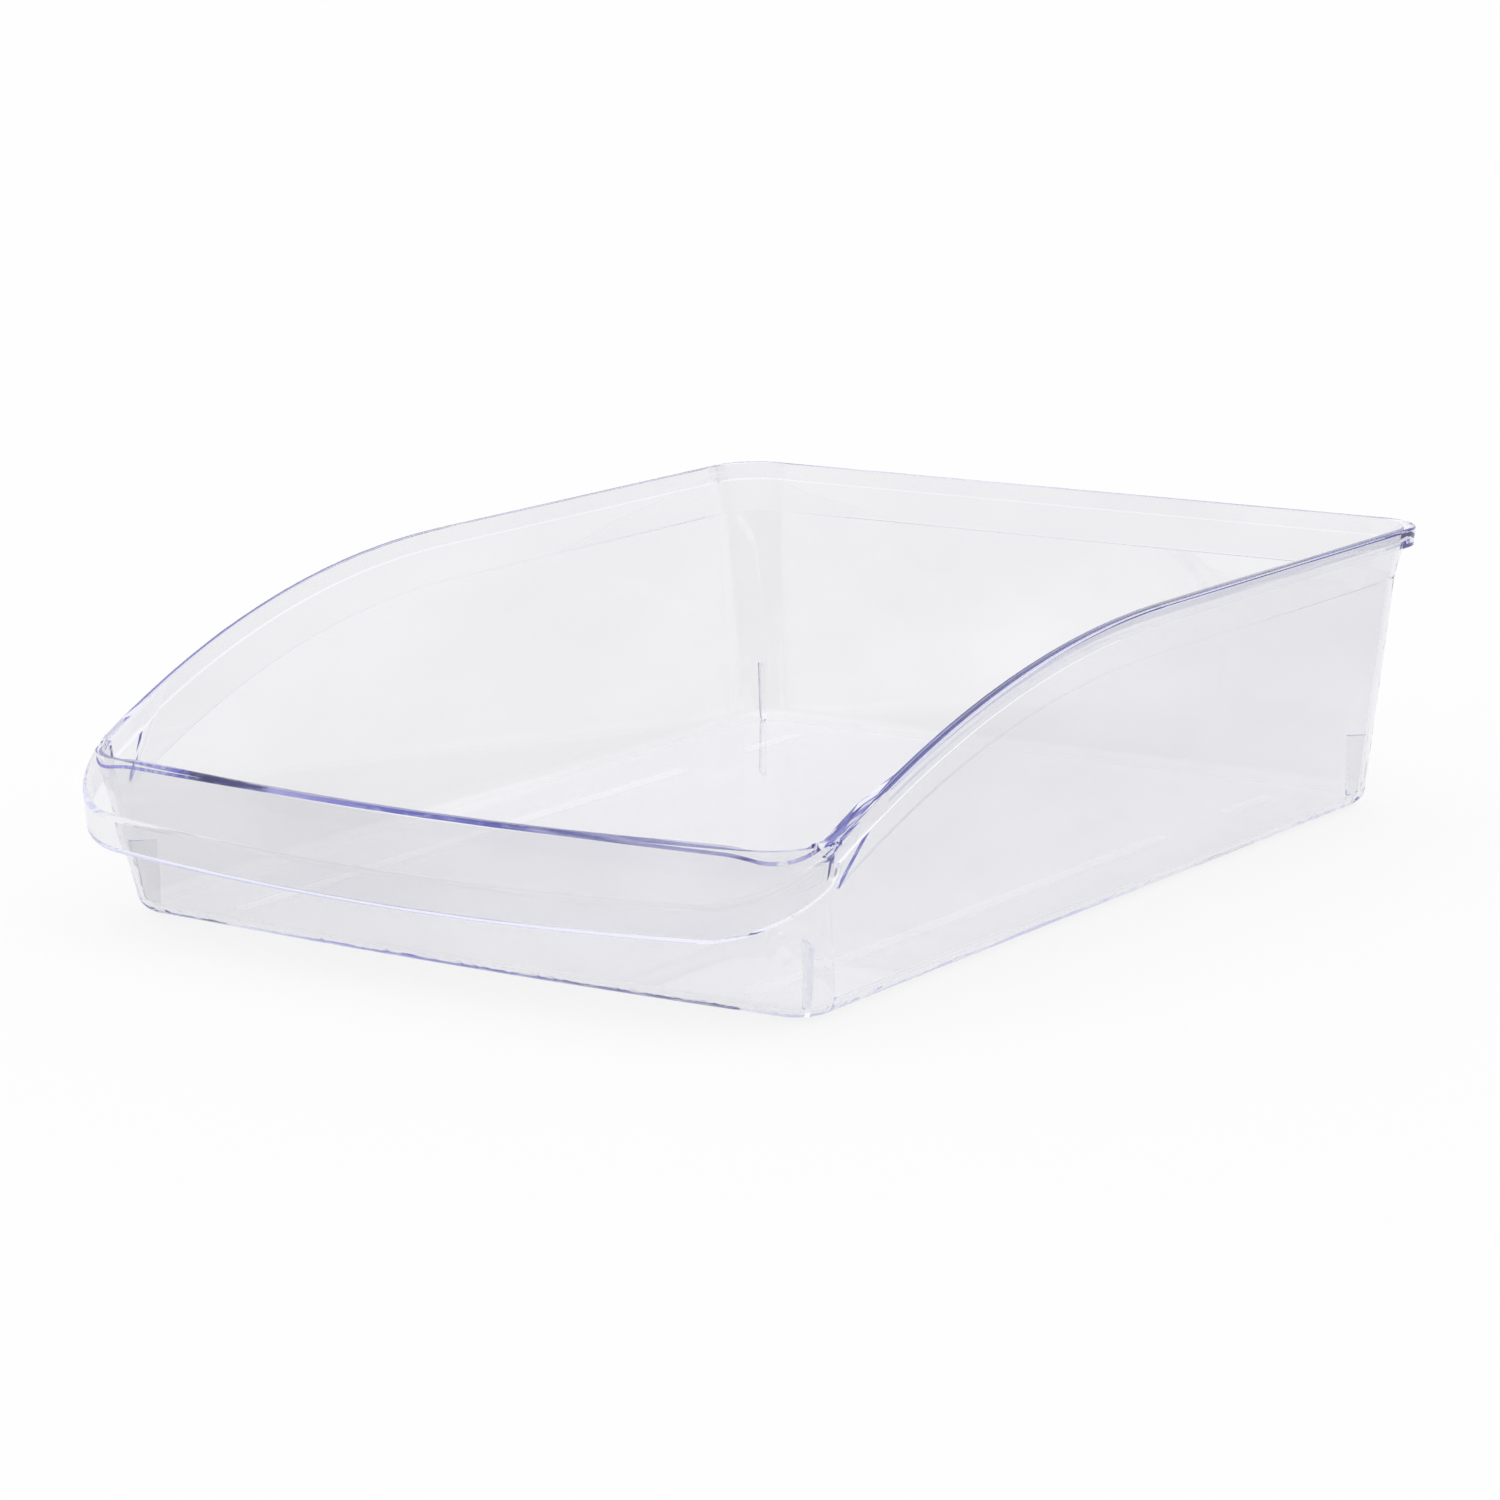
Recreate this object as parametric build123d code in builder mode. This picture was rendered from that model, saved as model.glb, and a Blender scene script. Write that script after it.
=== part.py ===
"""Clear fridge bin: one moulded tray with a scooped front and a wrap-round grip.

Millimetres, +Z up. The origin is the centre of the footprint, on the surface that
the bin stands on. The grip is towards -Y, and the high back wall towards +Y.
"""
from build123d import *
from math import asin, degrees, radians, sqrt, tan
import os

os.makedirs("parts", exist_ok=True)

# Overall size
length = 420.0            # front of the grip to the back of the rim
width = 303.4             # across the rim
height = 102.6            # standing surface to the top of the rim

# Moulding
wall = 2.1                # side, back and front walls, measured level
floor_thickness = 2.2
side_draft = 5.6          # degrees that the side walls lean out
back_draft = 4.1          # degrees that the back wall leans out
front_lean = 16.5         # degrees that the middle of the front wall leans out
foot_fillet = 6.5         # outside radius where the walls meet the floor
back_corner_radius = 20.0
front_corner_radius = 14.0
front_corner_spread = 0.059   # growth of that radius for each millimetre of height
foot_bow = 4.2            # how far the front wall swells forward at its foot
bow_spread = 0.024        # growth of that swelling for each millimetre of height

# Rim: a thickened lip, and the wall that flares out to it
lip_reach = 3.6           # outside of the drafted wall to the face of the lip
lip_depth = 6.7
lip_rounding = 1.0
lip_corner_radius = 18.9
flare_step = 2.6          # how far the wall has stepped out at the rim
flare_foot = 18.2         # depth below the rim where it starts to flare
flare_ledge = 0.1         # left level at the foot of the flare
flare_setback = 44.0      # front of the grip to where the flare has run out
flare_run_out = 12.0      # degrees, seen from above

# Scoop: the rim runs level from the back, then curves down to the grip
scoop_setback = 224.5     # front of the grip to where the curve starts
scoop_radius = 424.0

# Front wall and grip
crest_height = 55.1       # top of the front wall at its middle
crest_dip = 4.1           # how much higher the crest would be at the full width
grip_reach = 31.2         # foot of the front wall to the front of the grip
grip_bow = 8.2
grip_radius = 32.9
grip_setback = 38.0       # front of the grip to its ends on both sides
grip_rounding = 3.4
flange_thickness = 2.2
skirt_thickness = 2.0
skirt_height = 11.2       # at the middle of the front
skirt_angle = 27.3        # degrees that the skirt's lower edge rises towards its ends
skirt_end_rounding = 9

# Runners under the floor
runner_height = 1.0
runner_width = 6.5
runner_spacing = 206.4    # between the two rows
runner_front_setback = 52.8   # front of the grip to the long runner
runner_back_setback = 34.9    # back of the rim to the short runner
short_runner = 34.1
runner_gap = 42.6         # between the long runner and the short one

# Fins that keep nested bins apart
fin_thickness = 1.6
fin_reach = 5.0           # inside face of the corner to the edge of the fin
fin_length = 20.0         # before it is trimmed to the walls
fin_top = 25.2

level_enough = 0.8        # upward share of a face's normal that makes it a top face
on_plane = 0.01           # nearer than this, an edge counts as lying in a plane
spare = 3.0               # how far cutting solids stand past what they cut

floor_bottom = runner_height
floor_top = floor_bottom + floor_thickness
front_limit = -length / 2 - spare
flare_end = flare_setback - length / 2
scoop_start = scoop_setback - length / 2
grip_end = grip_setback - length / 2
scoop_sweep = degrees(asin((scoop_start - front_limit) / (scoop_radius - flare_foot)))


def half_width(z):
    """Half the width over the drafted side walls."""
    return width / 2 - lip_reach - (height - z) * tan(radians(side_draft))


def back_face(z):
    """Outside of the back wall."""
    return length / 2 - lip_reach - (height - z) * tan(radians(back_draft))


def front_middle(z):
    """Outside of the front wall, on the centre line."""
    return -length / 2 + grip_reach - (z - floor_bottom) * tan(radians(front_lean))


def front_bow(z):
    """How far the middle of the front wall stands in front of its corners."""
    return foot_bow + (z - floor_bottom) * bow_spread


def front_radius(z):
    """Outside radius of the front corners."""
    return front_corner_radius + (z - floor_bottom) * front_corner_spread


def scoop_height(y):
    """Height of the scooped rim, which the grip follows."""
    return height - scoop_radius + sqrt(scoop_radius**2 - (y - scoop_start) ** 2)


def outline(z, half, back, front, bow, back_rounding, front_rounding):
    """Closed plan at height z with a bowed front and four rounded corners."""
    side = front + bow
    with BuildSketch(Plane.XY.offset(z)) as closed:
        with BuildLine():
            ThreePointArc((-half, side), (0, front), (half, side))
            Polyline((half, side), (half, back), (-half, back), (-half, side))
        make_face()
        fillet(closed.vertices().group_by(Axis.Y)[-1], back_rounding)
        fillet(closed.vertices().group_by(Axis.Y)[0], front_rounding)
    return closed.sketch.face()


def tray_plan(z, grow):
    """Plan of the drafted walls, moved out by grow."""
    return outline(
        z,
        half_width(z) + grow,
        back_face(z) + grow,
        front_middle(z) - grow,
        front_bow(z),
        back_corner_radius + grow,
        front_radius(z) + grow,
    )


def rim_plan(z, inset):
    """Plan over the lip and the grip, moved in by inset."""
    return outline(
        z,
        half_width(z) + lip_reach - inset,
        back_face(z) + lip_reach - inset,
        -length / 2 + inset,
        grip_bow,
        lip_corner_radius - inset,
        grip_radius - inset,
    )


def tray_form(grow, bottom):
    """Solid inside the drafted walls moved out by grow, from bottom to well past the rim."""
    with BuildPart() as form:
        loft(sections=[tray_plan(bottom, grow), tray_plan(height + flare_foot, grow)], ruled=True)
    return form.part


def rim_form(inset):
    """Solid inside the faces of the lip and the grip, moved in by inset."""
    with BuildPart() as form:
        loft(sections=[rim_plan(floor_bottom, inset), rim_plan(height + spare, inset)], ruled=True)
    return form.part


def below_rim(depth):
    """Everything lower than a sheet that runs depth below the rim and its scoop."""
    level = height - depth
    centre = (scoop_start, height - scoop_radius)
    with BuildPart() as region:
        with BuildSketch(Plane.YZ):
            with BuildLine():
                Line((length, level), (scoop_start, level))
                scoop = CenterArc(centre, scoop_radius - depth, 90, scoop_sweep)
                Polyline(scoop @ 1, (front_limit, -height), (length, -height), (length, level))
            make_face()
        extrude(amount=width, both=True)
    return region.part


def below_tops(depth):
    """Everything lower than the rim and the crest of the front wall, moved down by depth."""
    middle = crest_height - depth
    side = middle + crest_dip
    with BuildPart() as region:
        add(below_rim(depth))
        with BuildSketch(Plane.XZ.offset(-grip_end)):
            with BuildLine():
                crest = ThreePointArc((-width / 2, side), (0, middle), (width / 2, side))
                Polyline(crest @ 1, (width / 2, -height), (-width / 2, -height), crest @ 0)
            make_face()
        extrude(amount=grip_end - front_limit)
    return region.part


def grip_sheet(rise):
    """Sloping plane through the outer edge of the grip, moved up by rise."""
    return Plane(origin=(0, -length / 2, grip_front + rise), z_dir=(0, -edge_slope, 1))


def sheet_face(inset, rise):
    """Face where that plane cuts the front of the rim's form, moved in by inset."""
    with BuildPart() as front:
        add(rim_form(inset))
        split(bisect_by=Plane.XZ.offset(-grip_end - grip_radius), keep=Keep.TOP)
        split(bisect_by=grip_sheet(rise), keep=Keep.BOTTOM)
    return front.faces().filter_by(lambda face: face.normal_at().Z > level_enough).sort_by(Axis.Z)[-1]


def grip_form(inset, drop):
    """Form of the grip: upright round its edge, then sloping up to the crest of the wall."""
    with BuildPart() as form:
        add(rim_form(inset))
        split(bisect_by=Plane.XZ.offset(-grip_end - grip_radius), keep=Keep.TOP)
        split(bisect_by=grip_sheet(-drop), keep=Keep.BOTTOM)
        loft(
            sections=[sheet_face(inset, -drop), sheet_face(inset + grip_land, grip_rise - drop)],
            ruled=True,
        )
    return form.part


def bend_edges(form):
    """Edges round the grip where its slope meets its upright face."""
    sheet = grip_sheet(0)
    behind = grip_end + grip_radius - on_plane
    lines = form.edges().filter_by(lambda line: (line @ 0.5).Y < behind)
    return lines.filter_by(
        lambda line: all(abs(sheet.to_local_coords(line @ share).Z) < on_plane for share in (0, 0.5, 1))
    )


def top_border(form):
    """Outer edges of the faces that look upwards."""
    edges = form.faces().filter_by(lambda face: face.normal_at().Z > level_enough).edges()
    return edges.filter_by(lambda edge: sum(edge.is_same(other) for other in edges) == 1)


def flare_zone(inset):
    """Where the wall flares: it narrows in plan towards the front corners."""
    foot = scoop_height(flare_end) - flare_foot
    near = half_width(foot) - inset
    far = near + (length - flare_end) * tan(radians(flare_run_out))
    with BuildPart() as zone:
        with BuildSketch():
            with BuildLine():
                Polyline(
                    (-near, flare_end),
                    (near, flare_end),
                    (far, length),
                    (-far, length),
                    close=True,
                )
            make_face()
        extrude(amount=height + 2 * spare)
    return zone.part


def flared_form(grow, inset):
    """Form of the wall that flares out below the rim."""
    with BuildPart() as flared:
        add(tray_form(grow, floor_bottom))
        add(below_rim(flare_foot), mode=Mode.SUBTRACT)
        split(bisect_by=Plane.XZ.offset(-flare_end), keep=Keep.BOTTOM)
        ledge = flared.faces().filter_by(Axis.Z).sort_by(Axis.Z)[0]
        foot = ledge.edges().filter_by(lambda edge: edge.center().Y > scoop_start + spare)
        chamfer(foot, flare_step - flare_ledge, flare_foot, reference=ledge)
        add(flare_zone(inset), mode=Mode.INTERSECT)
    return flared.part


# Slopes of the grip, across its middle and along its edge
grip_front = scoop_height(-length / 2)
grip_land = front_middle(crest_height) + length / 2
edge_slope = (scoop_height(grip_end) - grip_front) / grip_setback
grip_rise = crest_height - grip_front - grip_land * edge_slope
grip_fall = (crest_height - grip_front) / grip_land
flange_drop = flange_thickness * sqrt(1 + grip_fall**2) - skirt_thickness * grip_fall

# Rim: the lip along the sides and the back
behind_grip = Plane.XZ.offset(-grip_end)
with BuildPart() as rim:
    add(rim_form(0))
    add(below_rim(0), mode=Mode.INTERSECT)
    fillet(top_border(rim), lip_rounding)
    add(below_rim(lip_depth), mode=Mode.SUBTRACT)
    split(bisect_by=behind_grip, keep=Keep.BOTTOM)

# Grip: it slopes from the crest of the front wall down to a skirt round its edge
skirt_foot = grip_front - skirt_height
skirt_edge = Plane(origin=(0, -length / 2, skirt_foot), z_dir=(0, -tan(radians(skirt_angle)), 1))
with BuildPart() as grip:
    add(grip_form(0, 0))
    fillet(bend_edges(grip), grip_rounding)
    add(below_tops(0), mode=Mode.INTERSECT)
    split(bisect_by=skirt_edge, keep=Keep.TOP)
    split(bisect_by=behind_grip, keep=Keep.TOP)
    end_face = grip.faces().sort_by(Axis.Y)[-1]
    fillet(end_face.edges().sort_by(Axis.Z)[0], skirt_end_rounding)

# Space under the grip, inside the skirt
with BuildPart() as finger_space:
    add(grip_form(skirt_thickness, flange_drop))
    split(bisect_by=Plane.XZ.offset(skirt_thickness - grip_end), keep=Keep.TOP)
    add(below_tops(flange_thickness), mode=Mode.INTERSECT)

# Outside of the walls and floor
with BuildPart() as shell:
    add(tray_form(0, floor_bottom))
    fillet(shell.faces().sort_by(Axis.Z)[0].edges(), foot_fillet)
    add(flared_form(flare_step, 0))
    add(below_tops(flange_thickness / 2), mode=Mode.INTERSECT)

# Inside of the walls and floor
with BuildPart() as cavity:
    add(tray_form(-wall, floor_top))
    fillet(cavity.faces().sort_by(Axis.Z)[0].edges(), foot_fillet - floor_thickness)
    add(flared_form(flare_step - wall, wall))

# Fins across the bottom corners, cut to end inside the walls and the floor
fin_seat = wall / 2
with BuildPart() as fin_limit:
    add(tray_form(-fin_seat, floor_bottom + fin_seat))
    fillet(fin_limit.faces().sort_by(Axis.Z)[0].edges(), foot_fillet - fin_seat)
corner_back = back_face(floor_top)
corner_front = front_middle(floor_top) + front_bow(floor_top)
with BuildPart() as fins:
    for inward, turn, radius, corner in (
        (-1, 45, back_corner_radius, corner_back),
        (1, -45, front_radius(floor_top), corner_front),
    ):
        round_middle = (half_width(floor_top) - radius, corner + inward * radius, 0)
        with BuildSketch(Plane.XY.offset(floor_bottom)):
            with Locations(Location(round_middle, (0, 0, turn))):
                with Locations((radius - wall - fin_reach, 0)):
                    Rectangle(fin_length, fin_thickness, align=(Align.MIN, Align.CENTER))
        extrude(amount=fin_top - floor_bottom)
    mirror(about=Plane.YZ)
    add(fin_limit.part, mode=Mode.INTERSECT)

# Runners that the bin stands on, sunk into the floor
long_near = runner_front_setback - length / 2
short_far = length / 2 - runner_back_setback
short_near = short_far - short_runner
with BuildPart() as runners:
    for near, far in ((long_near, short_near - runner_gap), (short_near, short_far)):
        middle = (near + far) / 2
        with BuildSketch():
            with Locations((-runner_spacing / 2, middle), (runner_spacing / 2, middle)):
                SlotOverall(far - near, runner_width, rotation=90)
        extrude(amount=runner_height + floor_thickness / 2)

with BuildPart() as moulding:
    add(rim.part)
    add(grip.part)
    add(finger_space.part, mode=Mode.SUBTRACT)
    add(shell.part)
    add(cavity.part, mode=Mode.SUBTRACT)
    add(fins.part)
    add(runners.part)

moulding.part.label = "bin"
export_step(moulding.part, "parts/bin.step")
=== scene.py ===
# %% [markdown]
# # A clear moulded bin for the fridge
#
# This lesson dresses a one-piece open bin: a clear plastic tray with leaning walls, a thick lip
# round its rim, a scooped low front and a grip that wraps round the front.
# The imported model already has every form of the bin, so the lesson is about what makes clear
# plastic look clear: what it lets through, what it bends, and what it keeps back on a long way.
# Every size below is in metres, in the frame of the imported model.

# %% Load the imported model
from math import cos, radians, sin

import bmesh
import bpy
from mathutils import Matrix, Vector


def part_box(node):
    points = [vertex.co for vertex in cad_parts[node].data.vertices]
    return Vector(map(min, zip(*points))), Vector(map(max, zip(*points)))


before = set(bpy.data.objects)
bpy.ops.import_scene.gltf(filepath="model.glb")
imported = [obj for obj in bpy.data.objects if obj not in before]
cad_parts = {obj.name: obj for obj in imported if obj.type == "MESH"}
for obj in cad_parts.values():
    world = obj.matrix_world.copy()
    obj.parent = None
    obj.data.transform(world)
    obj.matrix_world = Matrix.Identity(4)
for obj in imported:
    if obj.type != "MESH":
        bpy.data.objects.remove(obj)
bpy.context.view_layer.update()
bin_low, bin_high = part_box("bin")
print("bin box:", [round(c, 4) for c in bin_low], [round(c, 4) for c in bin_high])

# %% [markdown]
# ## Camera
#
# The camera stands in front of the bin and to its right, and looks down a little through a long
# lens, as one would photograph a thing for a shop page. It could be placed by hand. Here its axes
# are worked out from three angles, so that the slight roll of the picture is kept too.

# %% Camera angles
view_azimuth = radians(34.597)
view_elevation = radians(11.934)
view_roll = radians(-0.633)
aim = Vector((-0.1064, 0.1478, 0.001))
aim_distance = 1.8687
lens_mm = 116.75

backwards = Vector((
    sin(view_azimuth) * cos(view_elevation),
    -cos(view_azimuth) * cos(view_elevation),
    sin(view_elevation),
))
level_right = Vector((cos(view_azimuth), sin(view_azimuth), 0))
level_up = backwards.cross(level_right)
right = cos(view_roll) * level_right + sin(view_roll) * level_up
up = cos(view_roll) * level_up - sin(view_roll) * level_right
print("the camera looks along", [round(-c, 3) for c in backwards])

# %% Camera
camera = bpy.data.objects.new("camera", bpy.data.cameras.new("camera"))
bpy.context.scene.collection.objects.link(camera)
camera.data.lens = lens_mm
turn = Matrix((right, up, backwards)).transposed().to_4x4()
camera.matrix_world = Matrix.Translation(aim + backwards * aim_distance) @ turn
bpy.context.scene.camera = camera
print("the camera stands at", [round(c, 3) for c in camera.location])

# %% [markdown]
# ## Colours and nodes
#
# Colours are written as the hex values that a paint program shows, and one function turns them to
# the linear values that the renderer needs. One more small function adds a node, sets its values
# and links its inputs, so that each material below reads as a short list.

# %% Colour and node helpers
def linear(hex_colour):
    """An sRGB hex colour as a linear RGBA tuple."""
    channels = [int(hex_colour[i:i + 2], 16) / 255 for i in (1, 3, 5)]
    return (*[c / 12.92 if c <= 0.04045 else ((c + 0.055) / 1.055) ** 2.4 for c in channels], 1)


def node(tree, kind, settings=(), values=(), links=()):
    """Adds a node, sets its settings and input values, and links its inputs."""
    made = tree.nodes.new(kind)
    for name, value in dict(settings).items():
        setattr(made, name, value)
    for name, value in dict(values).items():
        made.inputs[name].default_value = value
    for name, source in dict(links).items():
        tree.links.new(source, made.inputs[name])
    return made


print("mid grey #808080 is", round(linear("#808080")[0], 3), "in linear light")

# %% [markdown]
# ## Clear polystyrene
#
# The bin is injection-moulded clear polystyrene, polished by its mould. Three things make it read
# as that plastic and not as glass:
#
# - It bends light a little more than window glass, with an index of refraction of 1.58.
# - Its edges are violet-blue. Light that enters a thin edge runs on inside the wall, thrown back
#   from face to face, and on that long way the plastic keeps back red and green before blue. This
#   happens inside the plastic, so it is an absorbing volume, and a tint on the surface could not
#   show it: straight through a wall, two millimetres keep back almost nothing.
# - Its faces are never quite clean or flat. The melt leaves cloudy streaks along its flow, use
#   leaves a soft haze, and a long wave in the mould bends the reflections.

# %% Streaks along the flow
clear = bpy.data.materials.new("clear_polystyrene")
clear.use_nodes = True
tree = clear.node_tree
tree.nodes.clear()

streaks_per_metre = Vector((9.0, 4.0, 14.0))
place = node(tree, "ShaderNodeTexCoord")
along_flow = node(
    tree,
    "ShaderNodeMapping",
    values={"Scale": streaks_per_metre},
    links={"Vector": place.outputs["Object"]},
)
streaks = node(
    tree,
    "ShaderNodeTexNoise",
    values={"Scale": 1.0, "Detail": 3.0, "Roughness": 0.55},
    links={"Vector": along_flow.outputs["Vector"]},
)
cloudy_tint = node(
    tree,
    "ShaderNodeMix",
    settings={"data_type": "RGBA"},
    values={6: linear("#EAEAEB"), 7: linear("#FFFFFF")},
    links={0: streaks.outputs["Fac"]},
)
polished, hazy = 0.01, 0.04
haze = node(
    tree,
    "ShaderNodeMapRange",
    values={"From Min": 0.3, "From Max": 0.7, "To Min": polished, "To Max": hazy},
    links={"Value": streaks.outputs["Fac"]},
)
print("a streak is about", [round(1000 / count) for count in streaks_per_metre], "mm in x, y, z")

# %% Long wave of the mould
waves_per_metre = 14.0
wave_height = 0.002
wave_strength = 0.04
wave_shape = node(
    tree,
    "ShaderNodeTexNoise",
    values={"Scale": waves_per_metre, "Detail": 1.0, "Roughness": 0.3},
    links={"Vector": place.outputs["Object"]},
)
wave = node(
    tree,
    "ShaderNodeBump",
    values={"Strength": wave_strength, "Distance": wave_height},
    links={"Height": wave_shape.outputs["Fac"]},
)
print("a wave is about", round(1000 / waves_per_metre), "mm long")

# %% Surface and inside of the plastic
polystyrene_ior = 1.58
kept_back_per_metre = 9.0
skin = node(
    tree,
    "ShaderNodeBsdfPrincipled",
    values={"IOR": polystyrene_ior, "Transmission Weight": 1.0},
    links={
        "Base Color": cloudy_tint.outputs[2],
        "Roughness": haze.outputs["Result"],
        "Normal": wave.outputs["Normal"],
    },
)
inside = node(
    tree,
    "ShaderNodeVolumeAbsorption",
    values={"Color": linear("#5D5DE0"), "Density": kept_back_per_metre},
)
node(
    tree,
    "ShaderNodeOutputMaterial",
    links={"Surface": skin.outputs["BSDF"], "Volume": inside.outputs["Volume"]},
)

bin_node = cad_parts["bin"]
bin_node.data.materials.clear()
bin_node.data.materials.append(clear)
print("the bin wears", bin_node.data.materials[0].name)

# %% [markdown]
# ## Floor
#
# The bin stands on a wide white table that glows a little, as a light table in a photographer's
# room does. A plain white floor would show grey through the bin, because the bin's own shadow
# falls on it. The glow is there for what is seen directly, in a reflection or through the plastic,
# and it lights nothing by itself, so the bin keeps its soft shadow.

# %% Floor
floor_half = 15.0
floor_mesh = bmesh.new()
bmesh.ops.create_grid(floor_mesh, x_segments=1, y_segments=1, size=floor_half)
floor = bpy.data.objects.new("floor", bpy.data.meshes.new("floor"))
floor_mesh.to_mesh(floor.data)
floor_mesh.free()
bpy.context.scene.collection.objects.link(floor)
print("the floor is", 2 * floor_half, "m wide")

# %% White light table
table = bpy.data.materials.new("white_light_table")
table.use_nodes = True
tree = table.node_tree
tree.nodes.clear()

glow_part = 0.82
matt = node(tree, "ShaderNodeBsdfDiffuse", values={"Color": linear("#F4F4F4")})
glow = node(tree, "ShaderNodeEmission", values={"Color": linear("#FFFFFF"), "Strength": 1.0})
ray = node(tree, "ShaderNodeLightPath")
direct_or_through = node(
    tree,
    "ShaderNodeMath",
    settings={"operation": "MAXIMUM"},
    links={0: ray.outputs["Is Camera Ray"], 1: ray.outputs["Is Transmission Ray"]},
)
looked_at = node(
    tree,
    "ShaderNodeMath",
    settings={"operation": "MAXIMUM"},
    links={0: direct_or_through.outputs[0], 1: ray.outputs["Is Glossy Ray"]},
)
glow_share = node(
    tree,
    "ShaderNodeMath",
    settings={"operation": "MULTIPLY"},
    values={1: glow_part},
    links={0: looked_at.outputs[0]},
)
both = node(
    tree,
    "ShaderNodeMixShader",
    links={0: glow_share.outputs[0], 1: matt.outputs["BSDF"], 2: glow.outputs["Emission"]},
)
node(tree, "ShaderNodeOutputMaterial", links={"Surface": both.outputs[0]})
floor.data.materials.append(table)
print("the floor wears", table.name, "and is", round(100 * glow_part), "% glow where it is looked at")

# %% [markdown]
# ## Light
#
# The light is soft and comes from all round, from the world itself, so there is no lamp to make a
# hot spot. White alone would leave clear plastic nearly invisible: its faces and edges show only
# what is darker than the rest. So the room is dimmer low down to the front and the right, where a
# studio has its open side, and that dim side draws the lip, the crest and the corners.

# %% World light
world = bpy.data.worlds.new("studio")
bpy.context.scene.world = world
world.use_nodes = True
tree = world.node_tree
tree.nodes.clear()

open_side = Vector((0.8, -0.6, 0))
light_strength = 1.15
direction = node(tree, "ShaderNodeTexCoord")
parts = node(tree, "ShaderNodeSeparateXYZ", links={"Vector": direction.outputs["Generated"]})
low_down = node(
    tree,
    "ShaderNodeMapRange",
    settings={"interpolation_type": "SMOOTHSTEP"},
    values={"From Min": 0.15, "From Max": 0.6, "To Min": 1.0, "To Max": 0.0},
    links={"Value": parts.outputs["Z"]},
)
sideways = node(
    tree,
    "ShaderNodeVectorMath",
    settings={"operation": "DOT_PRODUCT"},
    values={1: open_side},
    links={0: direction.outputs["Generated"]},
)
to_the_side = node(
    tree,
    "ShaderNodeMapRange",
    settings={"interpolation_type": "SMOOTHSTEP"},
    values={"From Min": -0.3, "From Max": 0.5},
    links={"Value": sideways.outputs["Value"]},
)
dimness = node(
    tree,
    "ShaderNodeMath",
    settings={"operation": "MULTIPLY"},
    links={0: low_down.outputs["Result"], 1: to_the_side.outputs["Result"]},
)
room = node(
    tree,
    "ShaderNodeMix",
    settings={"data_type": "RGBA"},
    values={6: linear("#FAFAFB"), 7: linear("#8E8E94")},
    links={0: dimness.outputs[0]},
)
light = node(
    tree,
    "ShaderNodeBackground",
    values={"Strength": light_strength},
    links={"Color": room.outputs[2]},
)
node(tree, "ShaderNodeOutputWorld", links={"Surface": light.outputs["Background"]})
print("the room is dimmest towards", [round(c, 2) for c in open_side])

# %% [markdown]
# ## Long light paths
#
# Light that runs along inside a wall is thrown back dozens of times before it leaves. With the
# usual short limit the renderer gives such light up and paints the edge black. A long limit lets
# it come out, in the violet-blue that the plastic leaves it.

# %% Long light paths
path_limit = 512
bpy.context.scene.cycles.max_bounces = path_limit
bpy.context.scene.cycles.transmission_bounces = path_limit
bpy.context.scene.cycles.glossy_bounces = path_limit
bpy.context.scene.view_settings.view_transform = "Standard"
print("light may turn", path_limit, "times")
